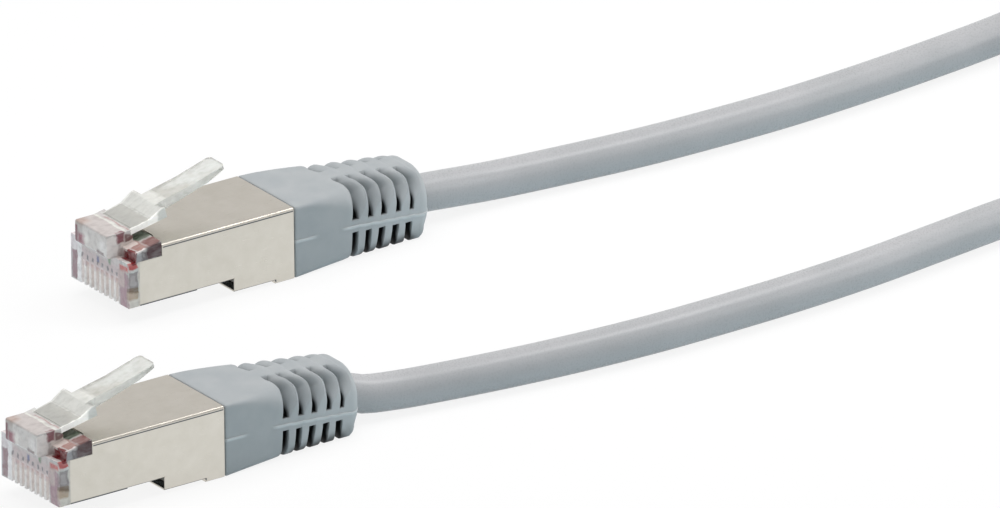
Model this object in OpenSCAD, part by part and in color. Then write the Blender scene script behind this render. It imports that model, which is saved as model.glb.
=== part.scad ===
// Shielded ethernet patch cable: two eight-way modular plugs on one round cord.
// The plugs lie side by side on the plane z = 0 with their contact faces towards -X, latches up.
// The origin is on that plane, under the middle of the box that holds the two plugs.

/* [Plug] */
// Width of the plug over its shield
plug_w = 11.9; // [11.3:0.1:13]
// Height of the plug's front body
front_h = 7; // [6.4:0.1:8]
// Height of the front body's underside above the table
front_z = 2; // [1.6:0.1:3]
// Length from the contact face to the shield's rear edge
shield_l = 23.3; // [22.5:0.1:26]
// Gap left between pieces that slide into each other
fit_gap = 0.05; // [0.03:0.01:0.1]

/* [Housing] */
// Length of clear body that stands ahead of the shield's side walls
bare_l = 1.6; // [1.3:0.1:2.5]
// How far the two upper front corners are cut back
corner_cut = 1; // [0.5:0.1:1.2]
// Height of the cut-back corners
corner_h = 1.4; // [0.8:0.1:2]
// Height of the bare corner blocks above the shield at their rear
corner_rise = 0.4; // [0.2:0.05:0.6]
// Depth of their front edge below the shield's top
corner_dip = 0.3; // [0:0.05:0.5]
// Distance from the contact face to the end of the bare corner blocks
corner_end = 4.7; // [4:0.1:6]
// Width of the nose that carries the latch
nose_w = 6.5; // [6:0.1:7]
// How far the nose stands out ahead of the contact face
nose_reach = 1.2; // [0.6:0.1:1.5]
// Height of the nose above the body's top
nose_rise = 1.5; // [1.3:0.05:2]
// Wall of the cable cavity at its sides
cavity_wall = 0.8; // [0.5:0.05:1.2]
// Thickness of the roof over the cable cavity
roof_t = 0.8; // [0.5:0.05:1.2]
// Thickness of the floor under the cable cavity
floor_t = 0.4; // [0.3:0.05:0.8]

/* [Latch] */
// Distance from the contact face to the hinge line
hinge_x = 2.5; // [2:0.05:3]
// Thickness of the latch at its hinge line
hinge_t = 0.7; // [0.5:0.05:0.9]
// Width of the latch at its hinge line
root_w = 6; // [5.4:0.1:6.5]
// Running gap round the hinge line
hinge_gap = 0.04; // [0.02:0.01:0.08]
// Slope of the latch arm in degrees
latch_slope = 13; // [10:0.5:16]
// Distance from the hinge line to the locking shoulders
shoulder_x = 4.9; // [4.5:0.1:6]
// Width over the locking shoulders
shoulder_w = 6.5; // [6:0.1:7]
// Height of the shoulders above the arm
shoulder_h = 0.6; // [0.5:0.05:1.2]
// Length of the thumb tab behind the shoulders
tab_l = 9.9; // [7:0.1:12]
// Width of the thumb tab
tab_w = 3.3; // [2.8:0.1:4]
// Thickness of the thumb tab
tab_t = 1; // [0.8:0.05:1.2]
// Thickness of the thumb tab at its tip
tip_t = 0.4; // [0.3:0.05:0.6]

/* [Shield] */
// Thickness of the shield's sheet metal
sheet_t = 0.2; // [0.15:0.05:0.3]
// Outside radius of the shield's bent edges
bend_r = 0.3; // [0.3:0.05:0.8]
// Distance from the contact face to the shield's bottom plate
bottom_x = 9.6; // [9:0.1:12]
// Distance from the contact face to the deep rear part
deep_x = 14.9; // [14:0.1:16]
// Drop of the deep rear part below the front underside
deep_drop = 1.6; // [1:0.1:1.7]
// Length of the lip at the shield's rear edge, which reaches the table
lip_l = 2.6; // [2.2:0.1:4]
// Width of the seam along the underside
seam_w = 0.2; // [0.1:0.05:0.4]
// Depth of the round-ended notch round the latch root
notch_l = 0.8; // [0.6:0.1:2]
// Thickness of the crimp barrel
barrel_t = 0.3; // [0.2:0.05:0.4]
// Length of the crimp barrel
barrel_l = 3.8; // [3:0.1:5]

/* [Contacts and wires] */
// Distance between neighbouring contacts
contact_pitch = 1.016; // [0.95:0.002:1.05]
// Thickness of one contact blade
blade_t = 0.32; // [0.2:0.02:0.4]
// Length of one contact blade along the plug
blade_l = 3; // [2.4:0.1:3.2]
// Distance from the contact face to the blades
blade_x = 1.3; // [1.1:0.1:1.5]
// How far the blades sit above the underside
blade_recess = 0.5; // [0.3:0.05:0.8]
// Diameter of one insulated conductor
wire_d = 0.74; // [0.6:0.02:0.78]
// Height of the conductors above the front underside
wire_h = 4.25; // [4:0.05:4.6]
// Length of the load bar
bar_l = 4.2; // [3.4:0.1:4.5]
// Height of the load bar
bar_h = 2.2; // [1.8:0.1:2.6]

/* [Cord] */
// Outside diameter of the cord
cord_d = 4.6; // [4.2:0.1:4.8]
// Height of the cord's centre above the table inside the plugs
cord_z = 3.4; // [3.4:0.1:4]
// Thickness of the braid folded back over the jacket
braid_t = 0.2; // [0.1:0.05:0.3]
// Length of the cord held inside each plug, ahead of the shield's rear edge
held_l = 2.7; // [2.2:0.1:4]
// Outer radius of the coil at the cord's centre
coil_r = 30; // [28:0.5:34]
// Step between neighbouring turns of the coil
coil_step = 5.2; // [5.1:0.1:5.5]

/* [Boot] */
// Length of the closed front block
block_l = 8.5; // [7:0.1:10]
// Number of slots along each side of the boot
slots = 5; // [3:1:6]
// Width of one slot
slot_w = 0.82; // [0.6:0.02:1]
// Thickness of one rib
rib_t = 1.2; // [1:0.05:1.6]
// Length of the end collar
collar_l = 2.5; // [2.2:0.1:4]
// Half width of the boot at its collar
collar_half = 4.7; // [4.2:0.1:5]
// Height of the collar's top above the table
collar_h = 8.45; // [8:0.05:8.9]
// Radius of the collar's rounded rear edge
collar_r = 1.1; // [0.8:0.1:1.6]
// Lean of the ribs towards the cord in degrees
rib_lean = 6; // [0:0.5:8]
// Height of the side web between the upper and lower slots
web_h = 1.45; // [1:0.05:2]
// Half width of the spines along the top and the underside
spine_half = 1.15; // [0.8:0.05:1.5]
// Wall of the core sleeve round the cord
core_wall = 0.7; // [0.5:0.05:1]

/* [Layout] */
// How far plug b lies ahead of plug a
stagger = 39.8; // [30:0.1:45]
// Distance between the two plugs' centre lines
spread = 44.1; // [30:0.1:50]

/* [Hidden] */
$fn = 48;
eps = 0.01;
ways = 8;

SIDES = ["a", "b"];

// Heights that several pieces share
top_z = front_z + front_h;
deep_z = front_z - deep_drop;
corner_z = top_z - corner_h;
nose_z = top_z + nose_rise;
inner_w = plug_w - 2 * sheet_t - 2 * fit_gap;
inner_top = top_z - sheet_t - fit_gap;
inner_r = bend_r - sheet_t;

// Shield: its lip, and the crimp barrel on a strap behind it
lip_x = shield_l - lip_l;
barrel_gap = 0.9;
barrel_x = shield_l + barrel_gap;
barrel_end = barrel_x + barrel_l;
barrel_r = cord_d / 2 + braid_t + fit_gap;
strap_w = 3;
strap_end = barrel_x + 1;

// Housing lengths: it stops short of the boot's spigot
spigot_l = 1.6;
spigot_wall = 0.9;
spigot_gap = 0.3;
housing_end = shield_l - spigot_l - spigot_gap;

// Contacts, conductors and the load bar that lines them up
wire_z = front_z + wire_h;
wire_start = 0.7;
wire_tail = 0.8;
bar_x = blade_x + blade_l + 0.3;
bar_end = bar_x + bar_l;
slot_end = bar_x + 2.4;
slot_gap = 0.26;
slot_h = 3.1;
jacket_x = shield_l - held_l;

// Hinge of the latch
hinge_r = hinge_t / 2;
hinge_z = nose_z - hinge_r;

// Boot lengths
block_end = shield_l + block_l;
slot_pitch = slot_w + rib_t;
collar_x = block_end + slots * slot_w + (slots - 1) * rib_t;
boot_end = collar_x + collar_l;
bore_r = cord_d / 2 + fit_gap;
core_r = bore_r + core_wall;
core_lift = 0.9;

// Layout of the two plugs about the origin
mid_x = (boot_end - nose_reach) / 2;
PLUG_AT = [[stagger / 2 - mid_x, spread / 2, 0], [-stagger / 2 - mid_x, -spread / 2, 0]];
function exit_of(i) = PLUG_AT[i] + [boot_end, 0, cord_z];

// Coil: it winds in along the table and out again one layer higher
cord_r = cord_d / 2;
coil_turns = 4.5;
coil_rings = 24;
coil_at = [166, 0.5];
coil_lead = 5;
layer_rise = cord_d + 0.5;
coil_inner = coil_r - coil_step * coil_turns / 2;

// Routes of the free stretches, each from its plug to the coil, at the cord's centre
ROUTE_A = concat(
    [exit_of(0), exit_of(0) + [1.5, 0, 0], exit_of(0) + [5, 0, -0.3]],
    [
        [54, 22, 2.5], [64, 21.2, 2.3], [74, 20.3, 2.3], [84, 20, 2.3], [94, 20.1, 2.3],
        [104, 20.8, 2.3], [115, 22, 2.3], [126, 23.6, 2.3], [136, 25.8, 2.3], [146, 28.8, 2.3]
    ],
    [coil_start() - [4.6, 0, 0], coil_start()]
);
ROUTE_B = concat(
    [exit_of(1), exit_of(1) + [1.5, 0, 0]],
    [
        [5.5, -22.5, 2.9], [10, -23.1, 2.5], [14, -23.7, 2.4], [24, -25, 2.3], [34, -26, 2.3],
        [44, -26.5, 2.3], [54, -26.4, 2.3], [64, -26, 2.3], [75, -25, 2.3], [86, -23.4, 2.3],
        [97, -21.8, 2.3], [108, -21.1, 2.3], [118, -21.6, 2.3], [128, -23.2, 2.5],
        [138, -25.6, 4.2], [148, -28, 6.5]
    ],
    [coil_finish() - [4.6, 0, 0], coil_finish()]
);

function unit(v) = v / norm(v);
function smooth(u) = u * u * (3 - 2 * u);
function clamp01(u) = max(0, min(1, u));
function lerp(a, b, u) = a + (b - a) * u;

// One point of the coil after t turns, clockwise from the far side
function coil_layer(t) = smooth(clamp01((t - coil_turns / 2) / 0.5 + 0.5));
function coil_radius(t) = coil_inner + coil_step * abs(t - coil_turns / 2);
function coil_point(t) = [
    coil_at[0] + coil_radius(t) * cos(90 - 360 * t),
    coil_at[1] + coil_radius(t) * sin(90 - 360 * t),
    cord_r + layer_rise * coil_layer(t)
];
function coil_start() = coil_point(0) - [coil_lead, 0, 0];
function coil_finish() = coil_point(coil_turns) - [coil_lead, 0, 0];
COIL = concat(
    [coil_start()],
    [for (i = [0 : coil_turns * coil_rings]) coil_point(i / coil_rings)],
    [coil_finish()]
);
coil_gap = min([
    for (i = [0 : len(COIL) - 1], j = [i + coil_rings / 2 : 1 : len(COIL) - 1]) norm(COIL[i] - COIL[j])
]) - cord_d;

function steps(p) = [for (i = [1 : len(p) - 1]) norm(p[i] - p[i - 1])];
function path_length(p) = steps(p) * [for (step = steps(p)) 1];
echo(least_gap_in_coil = coil_gap);
echo(cord_length = path_length(ROUTE_A) + path_length(COIL) + path_length(ROUTE_B));

// A tube of one radius swept along a list of points, with a corner of each ring at the bottom
function heading(p, i) = unit(p[min(i + 1, len(p) - 1)] - p[max(i - 1, 0)]);
function ring(c, dir, r, sides) =
    let (side = unit(cross(dir, [0, 0, 1])), up = cross(side, dir))
    [for (k = [0 : sides - 1]) c + r * (cos(360 * k / sides - 90) * side + sin(360 * k / sides - 90) * up)];
module sweep(p, r, sides) {
    rings = len(p);
    points = [for (i = [0 : rings - 1]) each ring(p[i], heading(p, i), r, sides)];
    walls = [
        for (i = [0 : rings - 2], k = [0 : sides - 1])
            let (a = i * sides + k, b = i * sides + (k + 1) % sides)
            each [[a, b, b + sides], [a, b + sides, a + sides]]
    ];
    first = [for (k = [1 : sides - 2]) [0, k + 1, k]];
    end = (rings - 1) * sides;
    last = [for (k = [1 : sides - 2]) [end, end + k, end + k + 1]];
    polyhedron(points = points, faces = concat(walls, first, last));
}

// Flat shapes: along_x lays a shape drawn in Y and Z along X, across_y centres one drawn in X and Z
module along_x(x, length) translate([x, 0, 0]) rotate([90, 0, 90]) linear_extrude(length) children();
module across_y(width) rotate([90, 0, 0]) linear_extrude(width, center = true) children();
module box(low, high) translate(low) cube(high - low);

// Cross-section between two heights, with its own corner radius at the bottom and at the top
module section(half, low, high, r_low, r_high) {
    polygon([
        [-half + r_low, low], [half - r_low, low], [half, low + r_low], [half, high - r_high],
        [half - r_high, high], [-half + r_high, high], [-half, high - r_high], [-half, low + r_low]
    ]);
    for (side = [-1, 1]) {
        translate([side * (half - r_low), low + r_low]) circle(r_low);
        translate([side * (half - r_high), high - r_high]) circle(r_high);
    }
}

// Clear moulded body: contact comb, nose, corner blocks and the cavity for bar, wires and cord
deep_start = deep_x + 1.2;
bar_low = wire_z - bar_h / 2 - fit_gap;
bar_high = wire_z + bar_h / 2 + fit_gap;
cavity_w = inner_w - 2 * cavity_wall;
cavity_floor = cord_z - cord_r - fit_gap;
cavity_roof = inner_top - roof_t;
front_floor = front_z + sheet_t + fit_gap;

module body_block() {
    box([0, -plug_w / 2, front_z], [bare_l, plug_w / 2, corner_z]);
    across_y(plug_w) polygon([
        [corner_cut, corner_z - eps], [corner_end, corner_z - eps],
        [corner_end, top_z + corner_rise], [corner_cut, top_z - corner_dip]
    ]);
    intersection() {
        across_y(plug_w) polygon([
            [bare_l - eps, front_z], [bottom_x - 0.2, front_z], [bottom_x - 0.2, front_floor],
            [deep_start, front_floor], [deep_start, deep_z + sheet_t + fit_gap],
            [housing_end, deep_z + sheet_t + fit_gap], [housing_end, inner_top], [bare_l - eps, inner_top]
        ]);
        along_x(0, shield_l) section(inner_w / 2, 0, inner_top, inner_r, inner_r);
    }
}
module nose() {
    foot_r = 0.5;
    top_r = 0.25;
    nose_h = nose_z - corner_z;
    nose_l = nose_reach + hinge_x;
    across_y(nose_w) {
        translate([foot_r - nose_reach, corner_z]) square([nose_l - foot_r, nose_h - top_r]);
        translate([top_r - nose_reach, corner_z + foot_r]) square([nose_l - top_r, nose_h - foot_r]);
        translate([-nose_reach, corner_z + foot_r]) square([nose_reach, nose_h - foot_r - top_r]);
        translate([foot_r - nose_reach, corner_z + foot_r]) circle(foot_r);
        translate([top_r - nose_reach, nose_z - top_r]) circle(top_r);
    }
}
module contact_openings() {
    for (pin = [1 : ways]) translate([0, pin_y(pin), 0]) {
        half = blade_t / 2;
        box([-eps, -half - slot_gap / 2, front_z - eps], [slot_end, half + slot_gap / 2, front_z + slot_h]);
        box(
            [blade_x - fit_gap, -half - fit_gap, front_z],
            [blade_x + blade_l + fit_gap, half + fit_gap, wire_z]
        );
        translate([wire_start, 0, wire_z]) rotate([0, 90, 0]) cylinder(r = wire_d / 2 + fit_gap, h = bar_x);
    }
}
module cavity() {
    across_y(cavity_w) polygon([
        [bar_x - fit_gap, bar_low], [bar_end, bar_low], [deep_start, front_floor + floor_t],
        [deep_start + floor_t, cavity_floor], [shield_l, cavity_floor], [shield_l, cavity_roof],
        [bar_end + fit_gap, cavity_roof], [bar_end + fit_gap, bar_high], [bar_x - fit_gap, bar_high]
    ]);
}
module housing() {
    color([0.9, 0.92, 0.93, 0.4]) difference() {
        union() {
            body_block();
            nose();
        }
        contact_openings();
        cavity();
        translate([hinge_x, 0, hinge_z]) rotate([90, 0, 0])
            cylinder(r = hinge_r + hinge_gap, h = nose_w + 1, center = true);
    }
}

// Latch: a springy arm, a ramp up to two locking shoulders, and a thumb tab that thins at its tip.
// It is drawn level and then tipped up about the hinge line.
module arm_plan() polygon([
    [hinge_r / 2, -root_w / 2], [shoulder_x, -shoulder_w / 2],
    [shoulder_x, shoulder_w / 2], [hinge_r / 2, root_w / 2]
]);
module tab_plan(root, end) {
    tip_r = 0.6;
    translate([root, -tab_w / 2]) square([end - root - tip_r, tab_w]);
    translate([root, tip_r - tab_w / 2]) square([end - root, tab_w - 2 * tip_r]);
    for (side = [-1, 1]) translate([end - tip_r, side * (tab_w / 2 - tip_r)]) circle(tip_r);
}
module latch() {
    ramp_l = 2.1;
    ramp_top = hinge_r + shoulder_h;
    crest_l = 0.4;
    tab_root = shoulder_x - 1.6;
    tab_mid = shoulder_x + tab_l / 2;
    tab_end = shoulder_x + tab_l;
    tab_low = 0.15;
    taper_l = 2.6;
    color([0.93, 0.95, 0.95, 0.4]) translate([hinge_x, 0, hinge_z]) rotate([0, -latch_slope, 0]) {
        rotate([90, 0, 0]) cylinder(r = hinge_r, h = root_w, center = true);
        translate([0, 0, -hinge_r]) linear_extrude(hinge_t) arm_plan();
        intersection() {
            across_y(shoulder_w) polygon([
                [shoulder_x - ramp_l, hinge_r - 0.1], [shoulder_x, hinge_r - 0.1], [shoulder_x, ramp_top],
                [shoulder_x - crest_l, ramp_top], [shoulder_x - ramp_l, hinge_r]
            ]);
            linear_extrude(3) arm_plan();
        }
        intersection() {
            across_y(tab_w) polygon([
                [tab_root, -hinge_r], [shoulder_x, -hinge_r], [tab_end - taper_l, tab_low],
                [tab_end, tab_low + tab_t - tip_t], [tab_end, tab_low + tab_t],
                [tab_mid, tab_t - tab_low], [shoulder_x - crest_l, ramp_top], [tab_root, hinge_r]
            ]);
            translate([0, 0, -2]) linear_extrude(5) tab_plan(tab_root - eps, tab_end);
        }
    }
}

// Load bar: a block with one through hole for each conductor
module load_bar() {
    color([0.75, 0.2, 0.2]) difference() {
        box(
            [bar_x, fit_gap - cavity_w / 2, wire_z - bar_h / 2],
            [bar_end, cavity_w / 2 - fit_gap, wire_z + bar_h / 2]
        );
        for (pin = [1 : ways])
            translate([bar_x - 1, pin_y(pin), wire_z]) rotate([0, 90, 0])
                cylinder(r = wire_d / 2 + fit_gap, h = bar_l + 2);
    }
}

// Contacts: blades with a round heel towards the socket and two tines under the conductor
function pin_y(pin) = ((ways + 1) / 2 - pin) * contact_pitch;
module contacts() {
    heel_r = 0.6;
    low = front_z + blade_recess;
    high = wire_z - wire_d / 2 - 0.02;
    color([0.85, 0.68, 0.3]) for (pin = [1 : ways]) translate([0, pin_y(pin), 0]) across_y(blade_t)
        difference() {
            union() {
                translate([blade_x, low + heel_r]) square([blade_l, high - low - heel_r]);
                translate([blade_x + heel_r, low]) square([blade_l - 2 * heel_r, heel_r + eps]);
                translate([blade_x + heel_r, low + heel_r]) circle(heel_r);
                translate([blade_x + blade_l - heel_r, low + heel_r]) circle(heel_r);
            }
            translate([blade_x + blade_l / 2 - 0.4, high - 0.7]) square([0.8, 1]);
        }
}

// Conductors: they run straight through the bar, then drop together to the end of the jacket
BUNDLE = [
    [1.55, -0.1], [0.8, 0.1], [0.4, 1], [0.42, -0.9],
    [-0.42, -0.9], [-0.4, 1], [-0.8, 0.1], [-1.55, -0.1]
];
module conductor(pin, tint) {
    start = [wire_start + fit_gap, pin_y(pin), wire_z];
    bend = [bar_end + wire_tail, pin_y(pin), wire_z];
    rest = [jacket_x - wire_tail, BUNDLE[pin - 1][0], cord_z + BUNDLE[pin - 1][1]];
    color(tint) sweep([start, bend, lerp(bend, rest, 0.5), rest, rest + [wire_tail, 0, 0]], wire_d / 2, 8);
}
module orange_pair() {
    conductor(1, [0.95, 0.85, 0.75]);
    conductor(2, [0.9, 0.45, 0.1]);
}
module green_pair() {
    conductor(3, [0.8, 0.93, 0.8]);
    conductor(6, [0.15, 0.55, 0.25]);
}
module blue_pair() {
    conductor(4, [0.15, 0.3, 0.7]);
    conductor(5, [0.8, 0.85, 0.95]);
}
module brown_pair() {
    conductor(7, [0.9, 0.85, 0.78]);
    conductor(8, [0.45, 0.28, 0.15]);
}

// Shield: folded sheet with a deep rear part, a lip on the table and a barrel crimped on the braid
module sleeve(x, length, low) {
    along_x(x, length) difference() {
        section(plug_w / 2, low, top_z, bend_r, bend_r);
        section(plug_w / 2 - sheet_t, low + sheet_t, top_z - sheet_t, inner_r, inner_r);
    }
}
module side_walls() {
    along_x(bare_l, bottom_x - bare_l + eps) difference() {
        union() {
            section(plug_w / 2, front_z, top_z, bend_r, bend_r);
            translate([-plug_w / 2, front_z]) square([plug_w, front_h / 2]);
        }
        section(plug_w / 2 - sheet_t, front_z + sheet_t, top_z - sheet_t, inner_r, inner_r);
        translate([sheet_t - plug_w / 2, front_z - 1]) square([plug_w - 2 * sheet_t, front_h / 2]);
    }
}
module latch_notch() {
    half = nose_w / 2 + 0.2;
    end_r = 0.8 * notch_l;
    reach = notch_l + 1;
    translate([corner_end - 1, 0, top_z - 1]) linear_extrude(2) {
        translate([0, end_r - half]) square([reach, 2 * (half - end_r)]);
        translate([0, -half]) square([reach - end_r, 2 * half]);
        for (side = [-1, 1]) translate([reach - end_r, side * (half - end_r)]) circle(end_r);
    }
}
module crimp_barrel() {
    split_w = 1.2;
    low = cord_z - barrel_r - barrel_t;
    foot = lip_x + 0.8;
    foot_l = 0.4;
    along_x(barrel_x, barrel_l) translate([0, cord_z]) difference() {
        circle(barrel_r + barrel_t);
        circle(barrel_r);
        translate([-split_w / 2, 0]) square([split_w, barrel_r + 1]);
    }
    across_y(strap_w) polygon([
        [foot, sheet_t / 5], [foot + foot_l, sheet_t / 5], [foot + foot_l + low, low], [strap_end, low],
        [strap_end, low + barrel_t], [foot + barrel_t + low, low + barrel_t], [foot, sheet_t]
    ]);
}
module shield() {
    color([0.8, 0.78, 0.74]) {
        difference() {
            union() {
                side_walls();
                sleeve(bottom_x, deep_x - bottom_x, front_z);
                sleeve(deep_x, lip_x - deep_x, deep_z);
                sleeve(lip_x, lip_l, 0);
                along_x(lip_x, sheet_t) intersection() {
                    section(plug_w / 2, 0, top_z, bend_r, bend_r);
                    translate([-plug_w / 2, 0]) square([plug_w, deep_z + sheet_t]);
                }
            }
            box([0, -plug_w, corner_z - fit_gap], [corner_end + fit_gap, plug_w, nose_z]);
            box([bottom_x - 1, -seam_w / 2, -1], [lip_x - fit_gap, seam_w / 2, front_z + 1]);
            latch_notch();
        }
        crimp_barrel();
    }
}

// Braid and foil folded back over the jacket, under the crimp barrel
braid_x = housing_end + 0.2;
braid_end = barrel_end + 0.6;
module braid() {
    color([0.75, 0.76, 0.78]) along_x(braid_x, braid_end - braid_x) translate([0, cord_z]) difference() {
        circle(cord_r + braid_t);
        circle(cord_r + fit_gap / 2);
    }
}

// End of the cord held by the housing, the crimp and the boot
module cable_end() {
    color([0.72, 0.73, 0.74]) along_x(jacket_x, boot_end - jacket_x) translate([0, cord_z]) circle(cord_r);
}

// Boot: closed block, ribs on a core, side webs, spines and a rounded collar
block_half = plug_w / 2 - 0.3;
block_radii = [1.6, 2.6];
collar_radii = [0.6, 4];
web_front_z = front_z + 2.4;
web_rear_z = cord_z - 0.15;
ribbed_l = collar_x - block_end;
overlap = 0.5;
lean_back = web_front_z * tan(rib_lean);
lean_drop = cos(rib_lean);
module boot_section(x, inset = 0) {
    u = clamp01((x - block_end) / ribbed_l);
    radii = lerp(block_radii, collar_radii, u);
    section(
        lerp(block_half, collar_half, u) - inset, inset, lerp(top_z, collar_h, u) - inset,
        max(radii[0] - inset, eps), radii[1] - inset
    );
}
// Lays a slice of the given thickness so that its rear face, at x, leans about the middle of the web
module leaned(x, thickness) {
    translate([x - lean_back, 0, 0]) rotate([0, rib_lean, 0]) along_x(-thickness, thickness) children();
}
module boot_block() {
    hull() {
        along_x(shield_l + fit_gap, eps) section(plug_w / 2, 0, top_z, bend_r, bend_r);
        leaned(block_end, eps) boot_section(block_end);
    }
    along_x(shield_l - spigot_l, spigot_l + 0.2) difference() {
        section(inner_w / 2, sheet_t + fit_gap, inner_top, inner_r, inner_r);
        translate([spigot_wall - inner_w / 2, -1])
            square([inner_w - 2 * spigot_wall, inner_top + 1 - spigot_wall]);
    }
}
module boot_ribs() {
    for (i = [1 : 1 : slots - 1]) {
        x = block_end + i * slot_pitch;
        leaned(x, rib_t) boot_section(x - rib_t / 2);
    }
    along_x(block_end - overlap, ribbed_l + 2 * overlap) union() {
        translate([0, cord_z]) circle(core_r);
        translate([0, cord_z + core_lift]) circle(core_r);
        translate([-core_r, cord_z]) square([2 * core_r, core_lift]);
    }
    across_y(2 * spine_half) polygon([
        [block_end - overlap, 0], [collar_x + overlap, 0], [collar_x + overlap, collar_h * lean_drop],
        [block_end, top_z * lean_drop], [block_end - overlap, top_z * lean_drop]
    ]);
    translate([block_end, 0, web_front_z]) rotate([0, atan((web_front_z - web_rear_z) / ribbed_l), 0])
        translate([0, 0, -web_h / 2]) linear_extrude(web_h) polygon([
            [-overlap, -block_half], [0, -block_half], [ribbed_l, -collar_half],
            [ribbed_l + overlap, -collar_half], [ribbed_l + overlap, collar_half],
            [ribbed_l, collar_half], [0, block_half], [-overlap, block_half]
        ]);
}
module boot_collar() {
    hull() {
        leaned(collar_x, eps) boot_section(collar_x);
        for (turn = [0 : 30 : 90])
            along_x(boot_end - collar_r * (1 - sin(turn)) - eps, eps)
                boot_section(collar_x, collar_r * (1 - cos(turn)));
    }
}
module boot() {
    slack = 0.15;
    hollow_r = barrel_r + barrel_t + slack;
    front = shield_l - spigot_l - 1;
    color([0.55, 0.6, 0.63]) difference() {
        union() {
            boot_block();
            boot_ribs();
            boot_collar();
        }
        translate([front, 0, cord_z]) rotate([0, 90, 0]) {
            cylinder(r = bore_r, h = boot_end);
            cylinder(r = hollow_r, h = braid_end + slack - front);
        }
        box(
            [front, -strap_w / 2 - slack, cord_z - hollow_r],
            [strap_end + slack, strap_w / 2 + slack, cord_z]
        );
    }
}

// The cord outside the plugs
module cord(route) color([0.72, 0.73, 0.74]) sweep(route, cord_r, 12);
module coil() color([0.72, 0.73, 0.74]) sweep(COIL, cord_r, 6);

module at_plug(i) translate(PLUG_AT[i]) children();
module piece(name, i) at_plug(i) children();
for (i = [0, 1]) {
    piece("housing", i) housing();
    piece("latch", i) latch();
    piece("load_bar", i) load_bar();
    piece("contacts", i) contacts();
    piece("shield", i) shield();
    piece("braid", i) braid();
    piece("cable_end", i) cable_end();
    piece("boot", i) boot();
    piece("orange_pair", i) orange_pair();
    piece("green_pair", i) green_pair();
    piece("blue_pair", i) blue_pair();
    piece("brown_pair", i) brown_pair();
}
cord(ROUTE_A);  // cord_a
coil();
cord(ROUTE_B);  // cord_b
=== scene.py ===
"""Looks of a shielded ethernet patch cable: two clear plugs in folded shields, slotted boots, one round cord.

Lengths are in millimetres, as in the CAD source, and turn to metres where a mesh is made. Places on a plug
are given from its contact face, its centre line and the table. The object's colours are written as they look,
0 to 255; those of the floor and of a glow are linear.
"""

import math

import bpy
import numpy as np
from mathutils import Matrix, Vector


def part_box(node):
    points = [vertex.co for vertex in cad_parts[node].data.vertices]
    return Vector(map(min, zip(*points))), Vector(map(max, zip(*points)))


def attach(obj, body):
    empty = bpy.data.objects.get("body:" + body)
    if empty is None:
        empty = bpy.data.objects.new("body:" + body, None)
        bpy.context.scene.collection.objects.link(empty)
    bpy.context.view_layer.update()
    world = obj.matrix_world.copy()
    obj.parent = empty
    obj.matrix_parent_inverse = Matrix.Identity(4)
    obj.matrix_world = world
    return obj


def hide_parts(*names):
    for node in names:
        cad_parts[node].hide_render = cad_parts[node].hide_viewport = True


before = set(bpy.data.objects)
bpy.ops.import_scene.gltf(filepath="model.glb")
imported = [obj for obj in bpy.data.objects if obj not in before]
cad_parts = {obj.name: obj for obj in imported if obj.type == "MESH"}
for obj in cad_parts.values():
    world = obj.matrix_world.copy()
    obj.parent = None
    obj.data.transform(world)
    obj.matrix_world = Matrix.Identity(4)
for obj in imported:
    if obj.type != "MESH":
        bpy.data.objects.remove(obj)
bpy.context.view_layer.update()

MM = 0.001
SIDES = ("a", "b")

# The plug, as in the CAD source. Along X, from the contact face, it has the shield, then the boot's block,
# slots with ribs between them, and collar.
PLUG_HALF = 5.95
TOP_Z = 9.0
SHIELD_L = 23.3
BLOCK_END = 31.8
SLOTS = 5
SLOT_W = 0.82
RIB_T = 1.2
COLLAR_X = BLOCK_END + SLOTS * SLOT_W + (SLOTS - 1) * RIB_T
COLLAR_L = 2.5
BOOT_END = COLLAR_X + COLLAR_L
CORD_Z = 3.4
CORD_R = 2.3


def plug_origin(side):
    """Where a plug's contact face meets its centre line on the table."""
    low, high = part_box(f"boot_{side}")
    return np.array([high.x / MM - BOOT_END, (low.y + high.y) / 2 / MM, 0.0])


def lerp(a, b, u):
    return a + (b - a) * u


def ease(u):
    """0 up to 0, 1 from 1, and a smooth rise between them."""
    u = np.clip(u, 0, 1)
    return u * u * (3 - 2 * u)


def step(value, start, run):
    """0 up to start and 1 after a smooth run from it; a negative run goes the other way."""
    return ease((value - start) / run)


# ---------------------------------------------------------------- camera

# A parallel view, fitted to the photo's two plugs
VIEW_HEADING = 33.9
VIEW_ELEVATION = 23.02
VIEW_ROLL = -0.82
VIEW_WIDTH = 116.47
VIEW_CENTRE = (42.99, 4.07, 2.1)
VIEW_DISTANCE = 400.0


def add_camera():
    heading, tilt = math.radians(VIEW_HEADING), math.radians(VIEW_ELEVATION)
    ahead = Vector((math.sin(heading) * math.cos(tilt), math.cos(heading) * math.cos(tilt), -math.sin(tilt)))
    right = ahead.cross(Vector((0, 0, 1))).normalized()
    up = right.cross(ahead)
    turn = Matrix((right, up, -ahead)).transposed() @ Matrix.Rotation(math.radians(VIEW_ROLL), 3, "Z")
    where = (Vector(VIEW_CENTRE) - ahead * VIEW_DISTANCE) * MM
    data = bpy.data.cameras.new("camera")
    data.type = "ORTHO"
    data.ortho_scale = VIEW_WIDTH * MM
    data.clip_start = 0.01
    data.clip_end = 20
    camera = bpy.data.objects.new("camera", data)
    camera.matrix_world = Matrix.Translation(where) @ turn.to_4x4()
    bpy.context.scene.collection.objects.link(camera)
    bpy.context.scene.camera = camera
    bpy.context.scene.view_settings.view_transform = "Standard"


# ---------------------------------------------------------------- meshes

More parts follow.
